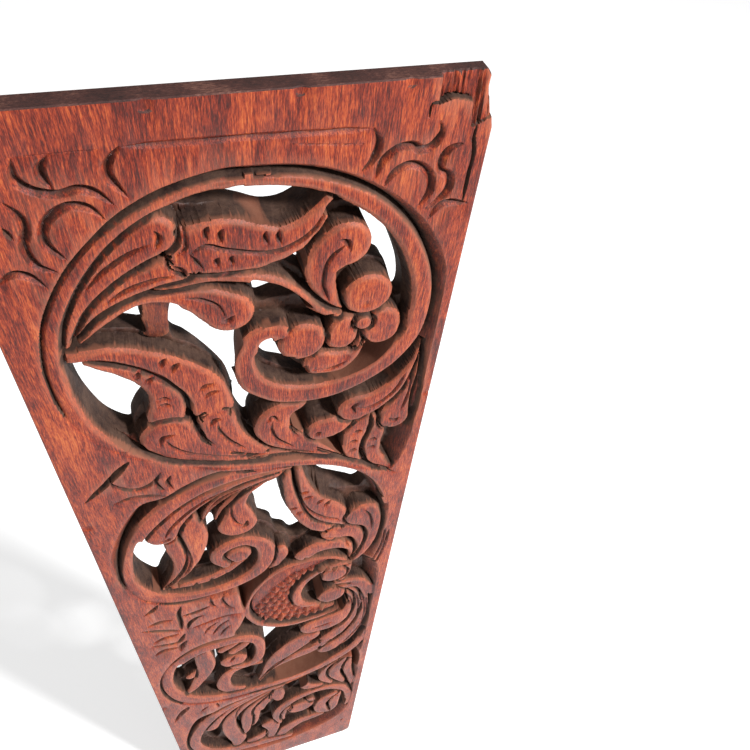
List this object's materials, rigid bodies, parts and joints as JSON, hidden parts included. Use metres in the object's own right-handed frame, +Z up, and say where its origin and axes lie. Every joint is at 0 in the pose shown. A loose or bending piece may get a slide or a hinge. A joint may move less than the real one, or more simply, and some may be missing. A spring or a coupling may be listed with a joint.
{
  "type": "carved wall panel",
  "caption": "Tall pierced hardwood wall panel, carved in one plank with spiralling vine scrolls, leaves, a flower and a studded fruit.",
  "frame": {"origin": "on the flat back face of the top rail, on the centre line, where the panel is fixed to the wall", "axes": "+Z up the length of the panel, +Y out of the flat back into the wall, carved face towards -Y"},
  "size_m": [0.2, 0.022, 0.891],
  "materials": {
    "hardwood": "hand carved reddish hardwood, thin wax, dust in the hollows"
  },
  "bodies": {
    "root": {"carved_board": "hardwood"}
  },
  "joints": []
}
